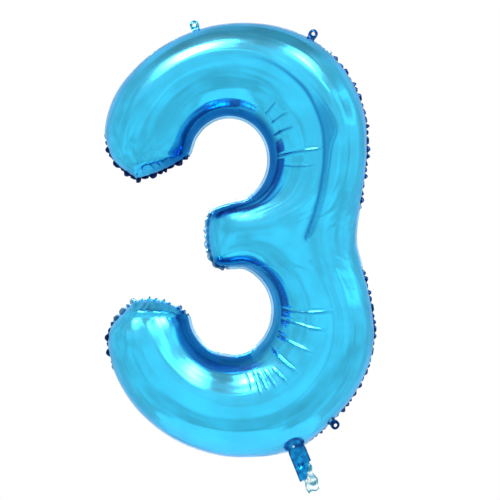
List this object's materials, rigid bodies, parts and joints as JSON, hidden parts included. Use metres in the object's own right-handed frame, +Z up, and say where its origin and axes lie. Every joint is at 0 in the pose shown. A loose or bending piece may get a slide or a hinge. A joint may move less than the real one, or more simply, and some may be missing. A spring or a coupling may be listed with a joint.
{
  "type": "foil number balloon",
  "caption": "Inflated metallic blue foil balloon in the shape of a figure three, with punched hanging tabs, a flat filling neck and a clear self-sealing film valve.",
  "frame": {"origin": "centre of the top left hanging hole", "axes": "+Z up as the balloon hangs, the front faces -Y, +X to the right seen from the front; the welded seam lies in the XZ plane"},
  "size_m": [0.536, 0.1828, 0.9362],
  "materials": {
    "foil_panel": "mirror-bright metallised film",
    "seal": "glossy metallised film, heat welded",
    "tab": "glossy metallised film, two layers welded",
    "neck_foil": "glossy metallised film, creased",
    "valve_film": "clear limp film",
    "release_ink": "thin matt coating"
  },
  "bodies": {
    "envelope": {"front_panel": "foil_panel", "back_panel": "foil_panel", "edge_seal": "seal", "neck_weld": "seal"},
    "tab_top_left": {"hang_tab_top_left": "tab"},
    "tab_top_right": {"hang_tab_top_right": "tab"},
    "tab_bottom_right": {"hang_tab_bottom_right": "tab"},
    "neck": {"neck_front_foil": "neck_foil", "neck_back_foil": "neck_foil", "neck_side_welds": "seal", "valve_front_film": "valve_film", "valve_back_film": "valve_film", "valve_release_ink": "release_ink"},
    "valve_tip": {"valve_tip_front_film": "valve_film", "valve_tip_back_film": "valve_film"},
    "valve_tongue": {"valve_tongue_front_film": "valve_film", "valve_tongue_back_film": "valve_film"}
  },
  "joints": [
    {"name": "tab_top_left_fold", "type": "hinge", "parent": "envelope", "child": "tab_top_left", "pos_m": [0.00293, 0, -0.00851], "axis": [0.9455, 0, 0.3256], "range_deg": [-75, 75], "stiffness_Nm_per_rad": 0.0005},
    {"name": "tab_top_right_fold", "type": "hinge", "parent": "envelope", "child": "tab_top_right", "pos_m": [0.23074, 0, -0.02547], "axis": [0.8746, 0, -0.4848], "range_deg": [-75, 75], "stiffness_Nm_per_rad": 0.0005},
    {"name": "tab_bottom_right_fold", "type": "hinge", "parent": "envelope", "child": "tab_bottom_right", "pos_m": [0.27374, 0, -0.78591], "axis": [-0.6947, 0, -0.7193], "range_deg": [-75, 40], "stiffness_Nm_per_rad": 0.0005},
    {"name": "neck_fold", "type": "hinge", "parent": "envelope", "child": "neck", "pos_m": [0.20303, 0, -0.84051], "axis": [0.9272, 0, 0.3746], "range_deg": [-85, 85], "stiffness_Nm_per_rad": 0.001},
    {"name": "valve_tip_fold", "type": "hinge", "parent": "neck", "child": "valve_tip", "pos_m": [0.22592, 0, -0.89716], "axis": [0.9272, 0, 0.3746], "range_deg": [-80, 80], "stiffness_Nm_per_rad": 0.0003},
    {"name": "valve_tongue_fold", "type": "hinge", "parent": "envelope", "child": "valve_tongue", "pos_m": [0.19363, 0, -0.81724], "axis": [0.9272, 0, 0.3746], "range_deg": [-15, 15], "stiffness_Nm_per_rad": 0.001}
  ]
}
